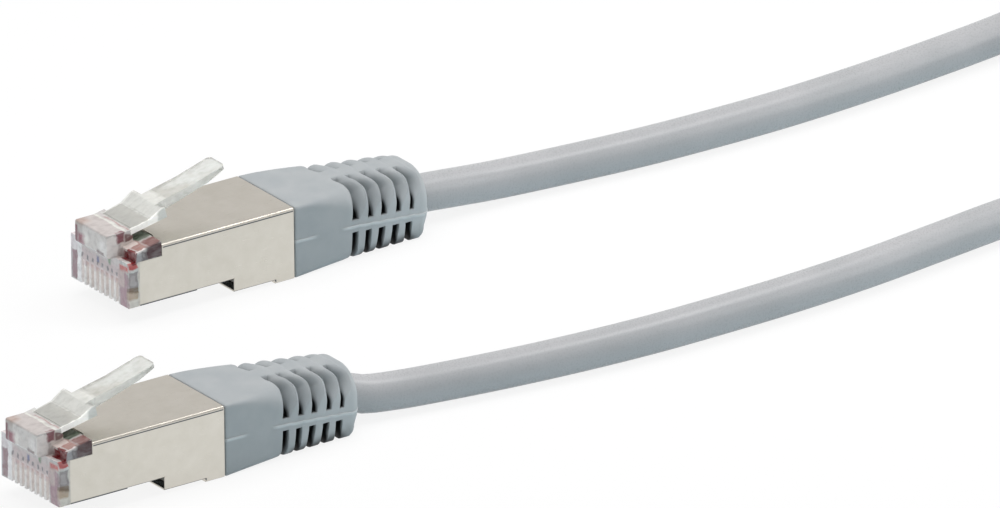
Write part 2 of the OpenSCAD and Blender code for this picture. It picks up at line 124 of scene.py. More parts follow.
def make_piece(name, points, faces, material, body="cable", shares=None):
    """A smooth mesh from points in millimetres, riding on a body, with shares that its material reads."""
    mesh = bpy.data.meshes.new(name)
    mesh.from_pydata((np.asarray(points) * MM).tolist(), [], faces)
    mesh.validate()
    mesh.shade_smooth()
    mesh.materials.append(material)
    for key, values in (shares or {}).items():
        mesh.attributes.new(key, "FLOAT", "POINT").data.foreach_set("value", np.asarray(values, np.float32))
    piece = bpy.data.objects.new(name, mesh)
    bpy.context.scene.collection.objects.link(piece)
    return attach(piece, body)


def grid_faces(rings, sides):
    """Quads between closed rings of points that run the same way round."""
    return [
        (i * sides + k, i * sides + (k + 1) % sides, (i + 1) * sides + (k + 1) % sides, (i + 1) * sides + k)
        for i in range(rings - 1) for k in range(sides)
    ]


def smooth_path(points, spacing):
    """A curve through given points, by centripetal Catmull-Rom, with a point about every spacing."""
    p = np.asarray(points, float)
    p = np.vstack([2 * p[0] - p[1], p, 2 * p[-1] - p[-2]])
    out = []
    for i in range(1, len(p) - 2):
        p0, p1, p2, p3 = p[i - 1:i + 3]
        t0 = 0.0
        t1 = t0 + np.linalg.norm(p1 - p0) ** 0.5
        t2 = t1 + np.linalg.norm(p2 - p1) ** 0.5
        t3 = t2 + np.linalg.norm(p3 - p2) ** 0.5
        count = max(1, round(np.linalg.norm(p2 - p1) / spacing))
        for t in np.linspace(t1, t2, count, endpoint=False):
            a1 = (t1 - t) / (t1 - t0) * p0 + (t - t0) / (t1 - t0) * p1
            a2 = (t2 - t) / (t2 - t1) * p1 + (t - t1) / (t2 - t1) * p2
            a3 = (t3 - t) / (t3 - t2) * p2 + (t - t2) / (t3 - t2) * p3
            b1 = (t2 - t) / (t2 - t0) * a1 + (t - t0) / (t2 - t0) * a2
            b2 = (t3 - t) / (t3 - t1) * a2 + (t - t1) / (t3 - t1) * a3
            out.append((t2 - t) / (t2 - t1) * b1 + (t - t1) / (t2 - t1) * b2)
    out.append(p[-2])
    return np.array(out)


# ---------------------------------------------------------------- cord

# The coil: its centre, mean radius, step from turn to turn, straight lead, rings in a turn, and the rise to
# its second layer
COIL_AT = (166.0, 0.5)
COIL_R = 30.0
COIL_STEP = 5.2
COIL_TURNS = 4.5
COIL_LEAD = 5.0
COIL_RINGS = 48
LAYER_RISE = 5.1
RISE_TURNS = 0.5
CORD_SPACING = 1.5
CORD_SIDES = 32

# First points from each boot's exit: straight out, then down
START_A = [(0, 0, 0), (1.5, 0, 0), (5, 0, -0.3)]
START_B = [(0, 0, 0), (1.5, 0, 0)]
# Points given from there to the coil, along the table as the photo shows
ROUTE_A = [
    (54, 22, 2.5), (64, 21.2, 2.3), (74, 20.3, 2.3), (84, 20, 2.3), (94, 20.1, 2.3),
    (104, 20.8, 2.3), (115, 22, 2.3), (126, 23.6, 2.3), (136, 25.8, 2.3), (146, 28.8, 2.3),
]
ROUTE_B = [
    (5.5, -22.5, 2.9), (10, -23.1, 2.5), (14, -23.7, 2.4), (24, -25, 2.3), (34, -26, 2.3),
    (44, -26.5, 2.3), (54, -26.4, 2.3),
    (64, -26, 2.3), (75, -25, 2.3), (86, -23.4, 2.3), (97, -21.8, 2.3), (108, -21.1, 2.3),
    (118, -21.6, 2.3), (128, -23.2, 2.5), (138, -25.6, 4.2), (148, -28, 6.5),
]


def coil_points():
    """The coil winds in along the table and out again one layer higher."""
    t = np.arange(COIL_TURNS * COIL_RINGS + 1) / COIL_RINGS
    inner = COIL_R - COIL_STEP * COIL_TURNS / 2
    radius = inner + COIL_STEP * abs(t - COIL_TURNS / 2)
    z = CORD_R + LAYER_RISE * step(t, (COIL_TURNS - RISE_TURNS) / 2, RISE_TURNS)
    angle = np.radians(90 - 360 * t)
    turns = np.stack([COIL_AT[0] + radius * np.cos(angle), COIL_AT[1] + radius * np.sin(angle), z], 1)
    lead = np.array([[COIL_LEAD, 0, 0]])
    return np.vstack([turns[:1] - lead, turns, turns[-1:] - lead])


def cord_path():
    """From plug a's boot, round the coil and back to plug b's boot."""
    exit_a, exit_b = [plug_origin(side) + (BOOT_END, 0, CORD_Z) for side in SIDES]
    turns = coil_points()
    lead = np.array([2 * CORD_R, 0, 0])
    out = [exit_a + p for p in START_A] + [np.array(p) for p in ROUTE_A] + [turns[0] - lead]
    back = [exit_b + p for p in START_B] + [np.array(p) for p in ROUTE_B] + [turns[-1] - lead]
    return smooth_path(out + list(turns) + back[::-1], CORD_SPACING)


def tube(path, radius, sides):
    """Points of a round tube: rings square to the path, each with a corner at its bottom."""
    ahead = np.gradient(path, axis=0)
    ahead /= np.linalg.norm(ahead, axis=1)[:, None]
    side = np.cross(ahead, [0, 0, 1])
    side /= np.linalg.norm(side, axis=1)[:, None]
    up = np.cross(side, ahead)
    angle = np.linspace(0, 2 * np.pi, sides, endpoint=False) - np.pi / 2
    spokes = np.cos(angle)[:, None] * side[:, None] + np.sin(angle)[:, None] * up[:, None]
    return (path[:, None] + radius * spokes).reshape(-1, 3)


def add_cord(material):
    path = cord_path()
    last = (len(path) - 1) * CORD_SIDES
    faces = grid_faces(len(path), CORD_SIDES)
    faces += [tuple(range(CORD_SIDES))[::-1], tuple(range(last, last + CORD_SIDES))]
    cord = make_piece("cord", tube(path, CORD_R, CORD_SIDES), faces, material)
    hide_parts("cord_a", "coil", "cord_b")


# ---------------------------------------------------------------- materials

def linear(rgb):
    """A colour written as it looks, as the shader's linear value."""
    parts = [c / 255 for c in rgb]
    return [c / 12.92 if c <= 0.04045 else ((c + 0.055) / 1.055) ** 2.4 for c in parts] + [1.0]


class Shader:
    """A small helper that adds and links a material's nodes."""

    def __init__(self, name):
        self.material = bpy.data.materials.new(name)
        self.material.use_nodes = True
        self.nodes = self.material.node_tree.nodes
        self.links = self.material.node_tree.links
        self.surface = self.nodes["Principled BSDF"]
        self.output = self.nodes["Material Output"]

    def add(self, kind, inputs=(), **settings):
        node = self.nodes.new(kind)
        for key, value in settings.items():
            setattr(node, key, value)
        for key, value in dict(inputs).items():
            self.put(node, key, value)
        return node

    def put(self, node, key, value):
        """Link a socket, or set a constant, on one of a node's inputs."""
        if isinstance(value, bpy.types.NodeSocket):
            self.links.new(value, node.inputs[key])
        else:
            node.inputs[key].default_value = value

    def place(self, scale=(1, 1, 1)):
        """Position in millimetres, stretched by scale."""
        source = self.add("ShaderNodeTexCoord").outputs["Object"]
        scale = [s / MM for s in scale]
        return self.add("ShaderNodeMapping", {"Vector": source, "Scale": scale}).outputs["Vector"]

    def share(self, key):
        """A value kept at the mesh's points."""
        return self.add("ShaderNodeAttribute", attribute_name=key).outputs["Fac"]

    def vector(self, operation, first, second=(0, 0, 0)):
        node = self.add("ShaderNodeVectorMath", {0: first, 1: second}, operation=operation)
        return node.outputs["Value" if operation == "LENGTH" else "Vector"]

    def local(self, origin, stir=0.0):
        """Position from a plug's origin in millimetres, stirred a little so that patches get soft edges."""
        source = self.add("ShaderNodeTexCoord").outputs["Object"]
        place = self.add("ShaderNodeMapping", {
            "Vector": source, "Scale": [1 / MM] * 3, "Location": [-c for c in origin],
        }).outputs["Vector"]
        waves = self.add("ShaderNodeTexNoise", {"Vector": place, "Scale": 0.9, "Detail": 2.0})
        shift = self.vector("SUBTRACT", waves.outputs["Color"], (0.5, 0.5, 0.5))
        shift = self.vector("SCALE", shift)
        shift.node.inputs["Scale"].default_value = stir
        return self.vector("ADD", place, shift)

    def patch(self, place, low, high, soft):
        """1 inside a box, falling to 0 over a soft margin outside it."""
        centre = [(a + b) / 2 for a, b in zip(low, high)]
        half = [(b - a) / 2 for a, b in zip(low, high)]
        off = self.vector("ABSOLUTE", self.vector("SUBTRACT", place, centre))
        off = self.vector("MAXIMUM", self.vector("SUBTRACT", off, half))
        return self.ramp(self.vector("LENGTH", off), 0, soft, 1, 0)

    def noise(self, scale, detail=3.0, stretch=(1, 1, 1)):
        """Noise with about scale cells in a millimetre."""
        return self.add("ShaderNodeTexNoise", {
            "Vector": self.place(stretch), "Scale": scale, "Detail": detail, "Roughness": 0.55,
        }).outputs["Fac"]

    def ramp(self, value, low, high, low_to=0.0, high_to=1.0):
        return self.add("ShaderNodeMapRange", {
            "Value": value, "From Min": low, "From Max": high, "To Min": low_to, "To Max": high_to,
        }).outputs["Result"]

    def mix(self, share, first, second, blend="MIX"):
        """Two colours mixed: the node has its share at socket 0, its colours at 6 and 7, its result at 2."""
        mixed = {0: share, 6: first, 7: second}
        return self.add("ShaderNodeMix", mixed, data_type="RGBA", blend_type=blend).outputs[2]

    def clouds(self, noise, low, high):
        """A colour that drifts between two tones."""
        return self.mix(self.ramp(noise, 0.3, 0.7), linear(low), linear(high))

    def math(self, operation, first, second=0.0):
        return self.add("ShaderNodeMath", {0: first, 1: second}, operation=operation).outputs[0]

    def times(self, first, second):
        return self.math("MULTIPLY", first, second)

    def bump(self, height, strength, distance):
        return self.add("ShaderNodeBump", {
            "Height": height, "Strength": strength, "Distance": distance * MM,
        }).outputs["Normal"]

    def set(self, **values):
        """Inputs of the surface, with _ for a space in their names."""
        for key, value in values.items():
            self.put(self.surface, key.replace("_", " "), value)


BOOT_TONES = (160, 165, 168), (168, 172, 174)
# painted light on the ribs' sides, also paler along the parting line, and its share
BOOT_PALE = (214, 218, 220)
BOOT_PALE_SHARE = 0.6
# painted shade deep in the slots and low under the ribs and the collar
BOOT_SLOT_SHADE = (14, 15, 16)


def boot_material():
    """Soft moulded plastic: a fine eroded texture and faint clouding, with painted light and painted shade.
    """
    s = Shader("boot_plastic")
    colour = s.clouds(s.noise(0.35, 2), *BOOT_TONES)
    # painted light, from the pale share
    colour = s.mix(s.times(s.share("pale"), BOOT_PALE_SHARE), colour, linear(BOOT_PALE))
    # painted shade, from the depth share
    colour = s.mix(s.ramp(s.share("depth"), 0, 0.25), colour, linear(BOOT_SLOT_SHADE))
    grain = s.noise(7, 2)
    s.set(Base_Color=colour, Roughness=s.ramp(grain, 0.3, 0.7, 0.48, 0.58), Specular_IOR_Level=0.4)
    s.set(Normal=s.bump(grain, 0.35, 0.03))
    return s.material


JACKET_TONES = (170, 171, 173), (178, 178, 180)


def jacket_material():
    """Extruded jacket: satin, with slow clouding and a fine grain."""
    s = Shader("jacket")
    colour = s.clouds(s.noise(0.12, 2), *JACKET_TONES)
    grain = s.noise(5, 2)
    s.set(Base_Color=colour, Roughness=s.ramp(grain, 0.3, 0.7, 0.25, 0.32), Specular_IOR_Level=0.4)
    s.set(Normal=s.bump(grain, 0.1, 0.02))
    return s.material


SHIELD_TONES = (212, 206, 195), (219, 213, 203)
SHIELD_INSIDE_SHADE = (34, 42, 44)
SHIELD_EDGE_SHADE = (70, 76, 84)
# Painted shade in the room behind the notch: low and high corner, soft margin
SHIELD_HOLLOW = (14.95, -5.8, 0.55), (20.6, 5.8, 8.6), 0.08
# Painted shade along the side's edges, a painted dark reflection under the top bend and painted contact
# shadow
# along the bottom: low and high corner, soft margin, share
SHIELD_EDGE_SHADES = [
    ((4.9, -6.1, 8.55), (23.2, -5.9, 8.64), 0.05, 0.95),
    ((1.6, -6.1, 1.9), (14.8, -5.8, 2.1), 0.1, 0.95),
    ((14.8, -6.1, 0.3), (20.7, -5.8, 0.5), 0.1, 0.95),
    ((20.7, -6.1, -0.1), (23.3, -5.8, 0.02), 0.12, 0.8),
]


def shield_material(side):
    """Nickel plated sheet with fine rolling lines along the plug, painted shade inside and along its side's
    edges.
    """
    s = Shader(f"shield_metal_{side}")
    lines = s.noise(9, 3, (0.04, 1, 1))
    place = s.local(plug_origin(side))
    colour = s.clouds(s.noise(0.5, 3), *SHIELD_TONES)
    # painted shade in the room behind the notch
    colour = s.mix(s.patch(place, *SHIELD_HOLLOW), colour, linear(SHIELD_INSIDE_SHADE))
    # painted shade along the side's edges
    for low, high, soft, share in SHIELD_EDGE_SHADES:
        colour = s.mix(s.times(s.patch(place, low, high, soft), share), colour, linear(SHIELD_EDGE_SHADE))
    s.set(Base_Color=colour, Metallic=1.0, Roughness=s.ramp(lines, 0.3, 0.7, 0.27, 0.36))
    s.set(Normal=s.bump(lines, 0.1, 0.02))
    return s.material


# How far tone and roughness drift to either side
PLAIN_SPREAD = 10
PLAIN_GLOSS = 0.04


def plain_material(name, rgb, roughness, metallic=0.0):
    """One colour with slight clouding in tone and gloss."""
    s = Shader(name)
    cloud = s.noise(2, 2)
    low, high = [[max(0, min(255, c + d)) for c in rgb] for d in (-PLAIN_SPREAD, PLAIN_SPREAD)]
    s.set(
        Base_Color=s.clouds(cloud, low, high), Metallic=metallic,
        Roughness=s.ramp(cloud, 0.3, 0.7, roughness - PLAIN_GLOSS, roughness + PLAIN_GLOSS),
    )
    return s.material


# Clear plastic. Its tints stand for what shows through it, and among them are painted light, painted
# highlights and painted shade. Each is a soft box on the plug: low and high corner, soft margin, colour,
# share of that colour, and how far the plastic turns solid there. What should look lit has a faint painted
# glow of its own instead: low and high corner, soft margin, strength.
PIN_PLACES = [(3.5 - pin) * 1.016 for pin in range(8)]
HOUSING_TINTS = [
    # the comb, with painted light in its gaps, and above it the conductors' ends
    ((-0.3, -3.9, 1.8), (1.2, 4.6, 4.3), 0.4, (248, 240, 236), 1, 0.9),
    ((0.06, -3.9, 1.8), (1.5, 4.6, 5.3), 0.1, (234, 224, 220), 1, 0.9),
    ((-0.3, -3.9, 4.8), (0.4, 3.9, 6.6), 0.5, (222, 200, 200), 1, 0.8),
    ((-0.3, -3.9, 6.8), (0.4, 3.9, 7.6), 0.4, (230, 216, 214), 1, 0.8),
    ((-0.3, 3.8, 1.8), (0.4, 4.6, 7.2), 0.2, (250, 244, 244), 1, 0.9),
    ((-0.3, 4.7, 2.2), (0.2, 5.6, 5.8), 0.12, (160, 122, 130), 1, 1),
    ((-0.3, 5.7, 1.8), (0.4, 6.1, 7.4), 0.1, (188, 176, 180), 1, 0.9),
    ((-0.3, 4.6, 6.0), (0.4, 6.1, 7.6), 0.3, (244, 232, 234), 1, 0.8),
    ((-0.3, -5.2, 4.4), (0.4, -4.0, 6.3), 0.35, (208, 182, 180), 1, 0.8),
    ((-0.3, -5.95, 1.8), (0.5, -4.3, 4.2), 0.4, (182, 142, 152), 1, 0.8),
    ((-0.3, -5.95, 3.0), (0.3, -5.2, 6.1), 0.2, (178, 140, 150), 1, 0.8),
    ((-0.3, -5.7, 6.6), (0.9, -4.3, 7.0), 0.35, (200, 84, 80), 1, 0.9),
    ((-0.3, 0.3, 5.9), (0.3, 0.6, 6.4), 0.25, (108, 112, 158), 1, 0.7),
    ((-0.3, -2.2, 6.5), (0.3, -1.9, 7.0), 0.25, (136, 160, 130), 1, 0.7),
    # the bare strip of the side, ahead of the shield
    ((0.1, -6.1, 6.9), (1.3, -5.8, 7.7), 0.2, (186, 84, 82), 1, 0.9),
    ((0.1, -6.1, 4.5), (1.2, -5.8, 6.4), 0.15, (150, 142, 142), 1, 0.8),
    ((0.35, -6.1, 4.9), (0.9, -5.8, 5.9), 0.15, (182, 174, 174), 1, 0.8),
    ((0.1, -6.1, 3.9), (1.2, -5.8, 4.4), 0.2, (118, 98, 78), 1, 0.9),
    ((0.1, -6.1, 3.0), (1.2, -5.8, 3.7), 0.4, (192, 170, 148), 1, 0.8),
    ((0.1, -6.1, 1.8), (1.2, -5.8, 2.8), 0.3, (228, 220, 210), 1, 0.8),
    ((1.32, -6.1, 1.8), (1.7, -5.8, 7.5), 0.08, (218, 210, 200), 1, 0.8),
    # corner blocks: front, top and side with painted highlights, and painted shade in the hollow behind them
    ((0.6, -6.0, 7.4), (1.25, -3.2, 8.95), 0.12, (114, 0, 12), 1, 1),
    ((1.6, -5.7, 8.8), (2.8, -3.4, 9.6), 0.3, (162, 116, 108), 1, 0.9),
    ((3.2, -5.7, 8.7), (4.7, -4.2, 9.6), 0.4, (124, 78, 74), 1, 0.9),
    ((1.2, -5.85, 8.6), (3.4, -5.7, 9.0), 0.1, (236, 228, 226), 1, 0.9),
    ((1.3, -6.1, 7.6), (2.1, -5.85, 8.5), 0.2, (158, 156, 158), 1, 0.9),
    ((2.1, -6.1, 7.6), (2.6, -5.85, 8.5), 0.3, (112, 104, 106), 1, 0.9),
    ((2.8, -6.1, 7.7), (4.7, -5.8, 9.3), 0.35, (66, 28, 34), 1, 1),
    ((3.0, -3.7, 7.6), (5.9, -1.6, 9.6), 0.25, (84, 98, 80), 1, 1),
    # nose: its top, front, ends, and the stripes ahead of the hinge
    ((-1.3, -3.3, 7.6), (1.5, 3.3, 10.6), 0.4, (212, 202, 198), 1, 0.8),
    ((-1.3, -3.3, 10.4), (1.3, 3.3, 10.6), 0.15, (200, 192, 189), 1, 0.8),
    ((-1.1, 2.3, 10.5), (-0.4, 2.9, 10.6), 0.9, (190, 168, 158), 1, 0.8),
    ((1.4, -3.3, 10.3), (1.6, 3.3, 10.6), 0.15, (232, 234, 226), 0.8, 0.8),
    ((1.95, -3.0, 10.3), (2.15, 2.0, 10.6), 0.15, (182, 158, 154), 1, 0.9),
    ((-1.3, -2.4, 8.7), (-0.9, -2.2, 9.0), 1.0, (240, 232, 230), 1, 0.8),
    ((-1.3, 0.9, 8.8), (-0.9, 1.0, 9.0), 0.9, (240, 232, 226), 1, 0.8),
    ((-1.3, 2.9, 7.7), (-0.8, 3.5, 9.8), 0.3, (146, 96, 104), 1, 0.9),
    ((-1.3, 1.7, 8.0), (-0.9, 2.4, 9.0), 0.5, (170, 108, 120), 1, 0.9),
    ((-1.3, -2.4, 7.6), (-0.7, -1.4, 8.1), 0.3, (112, 84, 88), 1, 0.9),
    ((0.3, -3.3, 9.3), (1.2, -2.9, 10.4), 0.2, (134, 82, 90), 1, 0.9),
    ((1.5, -3.3, 9.3), (2.4, -2.9, 10.0), 0.2, (116, 86, 84), 1, 0.9),
    ((0.9, -4.2, 8.5), (2.6, -2.9, 9.2), 0.2, (222, 210, 204), 1, 0.8),
] + [
    # the top of each contact blade
    ((-0.3, y - 0.08, 5.5), (0.3, y + 0.08, 5.8), 0.18, (122, 112, 118), 0.9, 0.7) for y in PIN_PLACES
]
HOUSING_LIT = [
    ((0.05, -3.9, 1.8), (1.5, 4.6, 5.2), 0.2, 0.13),
    ((-0.3, -6.1, 1.8), (0.1, 6.1, 7.6), 0.1, 0.04),
    ((-1.3, -3.3, 7.8), (-0.9, 1.6, 10.2), 0.3, 0.09),
    ((-1.3, -3.4, 7.8), (0.3, -3.1, 10.2), 0.15, 0.12),
    ((-0.3, 2.8, 1.8), (0.1, 4.6, 4.4), 1.0, 0.05),
]
# The latch's tints: whiter shoulders, painted light along both sides, greyer low by the hinge and darker by
# the near ear; then a painted glow on its near side
LATCH_TINTS = [
    ((5.3, -3.4, 9.0), (7.9, 3.4, 14.0), 0.5, (240, 240, 235), 0.8, 0.6),
    ((2.4, -3.4, 9.0), (8.0, -2.9, 14.0), 0.1, (246, 246, 242), 0.9, 0.8),
    ((2.4, 2.9, 9.0), (8.0, 3.4, 14.0), 0.1, (246, 246, 242), 0.9, 0.8),
    ((2.6, -2.7, 9.0), (4.6, 2.7, 11.3), 0.5, (194, 193, 187), 0.8, 0.5),
    ((6.9, -2.8, 11.5), (7.6, -2.0, 12.5), 0.3, (164, 166, 160), 1, 0.8),
]
LATCH_LIT = [
    ((2.4, -3.5, 9.0), (6.0, -3.0, 14.0), 0.3, 0.3),
]
HOUSING_LOOK = {
    "tints": HOUSING_TINTS, "lit": HOUSING_LIT, "milky": 0.7, "roughness": 0.1,
    "base": (226, 220, 218), "vein": (146, 128, 128),
}
LATCH_LOOK = {
    "tints": LATCH_TINTS, "lit": LATCH_LIT, "milky": 0.35, "roughness": 0.08,
    "base": (236, 235, 230), "vein": (178, 178, 173),
}
CLEAR_TONE = (246, 247, 243)
CLEAR_SHINE = (250, 250, 247)
SHINE_SHARE = 0.35
VEIN_SHARE = 0.25
GLOW = (1, 0.98, 0.96, 1)
CLEAR_GLOSS = 0.08
STIR = 0.7


def clear_material(name, side, tints, lit, milky, roughness, base, vein):
    """Clear moulding: part milky, the colours of what lies inside and painted light and shade in soft
    patches.
    """
    s = Shader(name)
    place = s.local(plug_origin(side), STIR)
    flow = s.noise(0.8, 2)
    streaks = s.ramp(s.noise(1.6, 2, (0.35, 1, 1)), 0.35, 0.65, 0.85, 1.0)
    shine = s.ramp(s.noise(2.2, 2, (0.5, 1, 1)), 0.5, 0.75)
    veins = s.ramp(s.noise(1.5, 3, (0.6, 1, 1)), 0.45, 0.7)
    colour = s.mix(s.ramp(flow, 0.35, 0.65), linear(base), linear(CLEAR_TONE))
    colour = s.mix(s.times(shine, SHINE_SHARE), colour, linear(CLEAR_SHINE))
    solid = 0.0
    for low, high, soft, rgb, share, body in tints:
        inside = s.times(s.patch(place, low, high, soft), streaks)
        colour = s.mix(s.times(inside, share), colour, linear(rgb))
        solid = s.math("MAXIMUM", solid, s.times(inside, body))
    colour = s.mix(s.times(veins, VEIN_SHARE), colour, linear(vein), "MULTIPLY")
    glow = 0.0
    # painted light: a faint glow where the plastic should look lit
    for low, high, soft, strength in lit:
        glow = s.math("MAXIMUM", glow, s.times(s.patch(place, low, high, soft), strength))
    s.set(
        Base_Color=colour, IOR=1.5, Roughness=s.ramp(flow, 0.3, 0.7, roughness, roughness + CLEAR_GLOSS),
        Transmission_Weight=s.ramp(solid, 0, 1, 1 - milky, 0),
        Emission_Color=GLOW, Emission_Strength=glow,
    )
    s.set(Normal=s.bump(flow, 0.06, 0.1))
    return s.material


# ---------------------------------------------------------------- boot

# The boot is a grid of rings round a hub line inside it, so each point is an angle and a radius. Angles are
# in radians, from level up the side. The core is the sleeve that the slots reach down to, the web joins the
# ribs along each side, and the spine joins them along top and bottom.
HUB_Z = 4.2
CORE_R = 3.05
CORE_LIFT = 0.9
WEB_H = 1.47
WEB_FRONT_Z = 4.4
WEB_REAR_Z = 3.25
PARTING_FRONT_Z = 4.67
PARTING_RISE = 0.12
SPINE_HALF = 1.0
SLOT_CENTRES = [BLOCK_END + SLOT_W / 2 + i * (SLOT_W + RIB_T) for i in range(SLOTS)]

# The outer section: half width and height, then radii of the lower and the upper edges
BLOCK_HALF = PLUG_HALF - 0.3
COLLAR_HALF = 4.7
COLLAR_TOP = 8.5
COLLAR_DROP = 0.25
FRONT_RADII = (0.3, 0.3)
BLOCK_RADII = (1.6, 2.9)
COLLAR_RADII = (0.6, 3.8)
UPPER_CURVE = 1.7

# The front edge's small rounding: rings behind the shield, and how far the skin is drawn in at some places
MOUTH_RINGS = (0.02, 0.14, 0.18, 0.26, 0.34, 0.6)
MOUTH_AT = (0.14, 0.18, 0.26, 0.34)
MOUTH_INSET = (0.7, 0.14, 0.03, 0)

# The collar's rear edge: its rounding and its bulge, low down and above, and what it gives up at its foot
COLLAR_EDGE_LOW = 1.9
COLLAR_EDGE = 1.1
BULGE_LOW = -0.1
BULGE = 0.2
COLLAR_FOOT = 0.6
BORE_GAP = 0.05
BORE_RIM = 0.1
BORE_DEPTH = 3

# Lean of slots and ribs to the rear, for each millimetre below and above the web, and what the collar keeps
LEAN_LOW = math.tan(math.radians(1))
LEAN_HIGH = math.tan(math.radians(8))
COLLAR_LEAN = 0.4
# Fillets along a slot's edges: below the web, then above it on the slot's front and rear side, and their
# depth on the side, as a share of that, and on the crest
FILLET_LOW = 0.1
FILLET_FRONT = 0.15
FILLET_REAR = 0.95
FILLET_DEPTH = 0.75
FILLET_CREST = 3
# What is left of a slot's width and depth on the crest, and of its depth on the far side
CREST_WIDTH = 0.8
CREST_DEPTH = 0.6
FAR_DEPTH = 0.2
# How far short of the spine a slot fades out, as an angle, and how far below the web its lower end curls
SLOT_FADE = 0.16
CURL_H = 3.5
# How far ahead of the slots the crest and the far edge begin to lean forward
CREST_REACH = 5
EDGE_REACH = 1.2

# One value for each slot, front to rear: its half width above and below the web
UPPER_HALF = (0.5, 0.4, 0.42, 0.37, 0.3)
LOWER_HALF = (0.42, 0.42, 0.46, 0.45, 0.46)
# its shift to the rear above and below the web
UPPER_SHIFT = (-0.05, 0.17, 0.16, 0.33, 0.3)
LOWER_SHIFT = (0.0, 0.0, 0.0, 0.05, 0.0)
# how far it leans forward, on the near side's crest and on the far side's edge and crest
NEAR_CREST = (0.6, 1.1, 0.9, 1.0, 0.9)
FAR_EDGE = (1.35, 1.3, 1.25, 1.3, 1.45)
FAR_CREST = (0.75, 0.7, 0.75, 0.85, 1.05)
# how much sooner it fades out on the near side, as an angle, and how far its lower end curls forward
NEAR_TOP = (0, 0, 0, 0.04, 0.14)
LOWER_CURL = (0.15, 0.28, 0.5, 0.5, 0.3)

# Painted shade under the ribs and the collar, and painted light on the ribs' sides
RIB_SHADE = 0.22
COLLAR_SHADE = 0.035
RIB_PALE = 0.45

# Smooth changes, each with the start and the run that step takes: first those by angle
CREST_RUN = (0.25, 0.9)
FILLET_RUN = (0.1, 0.4)
FAR_DEPTH_RUN = (0.2, 0.5)
NEAR_LEAN_RUN = (0.7, 0.5)
FAR_LEAN_RUN = (0.3, 0.6)
FAR_CREST_RUN = (0.9, 0.45)
DARK_RUN = (0.6, -0.4)
PALE_RUN = (0.8, -0.5)
# those along the boot
PARTING_FRONT_RUN = (SHIELD_L + 3.6, -1.2)
PARTING_REAR_RUN = (BLOCK_END - 1.6, 0.6)
COLLAR_DROP_RUN = (COLLAR_X, 1.4)
COLLAR_LEAN_RUN = (COLLAR_X, 2)
RIB_PALE_RUN = (30, 10)
# and those by height above the table
RIB_SHADE_RUN = (1.5, -1.2)
COLLAR_SHADE_RUN = (2.4, -1.5)
SIDE_PALE_RUN = (0, 2.5)
COLLAR_FOOT_RUN = (2.5, -2)
COLLAR_EDGE_RUN = (0.5, 2.5)

# How finely the skin is divided: points of a section's arcs and of its spans, points up a ring's half below
# and above the web, rings of the block, of a fillet, of the collar and of its rear edge, and rings across a
# slot's floor as shares of its half width
ARC_POINTS = 24
SPAN_POINTS = 12
LOWER_POINTS = 28
UPPER_POINTS = 40
BLOCK_RINGS = 16
FILLET_RINGS = 7
COLLAR_RINGS = 3
EDGE_RINGS = 8
FLOOR_PLACES = (-1, -0.8, 0, 0.8, 1)
# A sharp edge as a small angle, and where the parting line starts, is raised, and ends, as shares of it
EDGE_ANGLE = 0.02
PARTING_SHARES = (-1.4, -0.9, 0.7, 1.1)


def outline(half, low, high, r_low, r_high):
    """Angles and radii, about the hub, of a rounded section from its bottom up the +Y side to its top."""
    turn = np.radians(np.linspace(-90, 0, ARC_POINTS))
    lower = np.stack([half - r_low + r_low * np.cos(turn), low + r_low + r_low * np.sin(turn)], 1)
    turn = np.radians(np.linspace(0, 90, ARC_POINTS))
    upper = np.stack([half - r_high + r_high * np.cos(turn), high - r_high + r_high * np.sin(turn)], 1)
    points = np.vstack([[0, low], lower, upper, [0, high]])
    spans = [np.linspace(a, b, SPAN_POINTS, endpoint=False) for a, b in zip(points[:-1], points[1:])]
    y, z = (np.vstack(spans + [points[-1:]]) - (0, HUB_Z)).T
    return np.arctan2(z, y), np.hypot(y, z)


def boot_section(x):
    """The boot's outer section at a place along it: half width, low, high and the radii of its edges."""
    if x < BLOCK_END:
        u = (x - SHIELD_L) / (BLOCK_END - SHIELD_L)
        low_r = lerp(FRONT_RADII[0], BLOCK_RADII[0], u)
        high_r = lerp(FRONT_RADII[1], BLOCK_RADII[1], u ** UPPER_CURVE)
        return lerp(PLUG_HALF, BLOCK_HALF, u), 0, TOP_Z, low_r, high_r
    u = min(1, (x - BLOCK_END) / (COLLAR_X - BLOCK_END))
    high = lerp(TOP_Z, COLLAR_TOP, u) - COLLAR_DROP * step(x, *COLLAR_DROP_RUN)
    low_r, high_r = (lerp(a, b, u) for a, b in zip(BLOCK_RADII, COLLAR_RADII))
    return lerp(BLOCK_HALF, COLLAR_HALF, u), 0, high, low_r, high_r


def core_radius(angle):
    """Radius, about the hub, of the core sleeve: two circles one above the other."""
    best = np.zeros_like(angle)
    for z in (CORD_Z, CORD_Z + CORE_LIFT / 2, CORD_Z + CORE_LIFT):
        off = z - HUB_Z
        along = off * np.sin(angle)
        best = np.maximum(best, along + np.sqrt(CORE_R ** 2 - off ** 2 + along ** 2))
    return best


def web_z(x):
    """Height of the side web's centre, which the parting line follows over the whole boot."""
    if x < BLOCK_END:
        return lerp(PARTING_FRONT_Z, WEB_FRONT_Z, (x - SHIELD_L) / (BLOCK_END - SHIELD_L))
    return lerp(WEB_FRONT_Z, WEB_REAR_Z, (x - BLOCK_END) / (COLLAR_X - BLOCK_END))


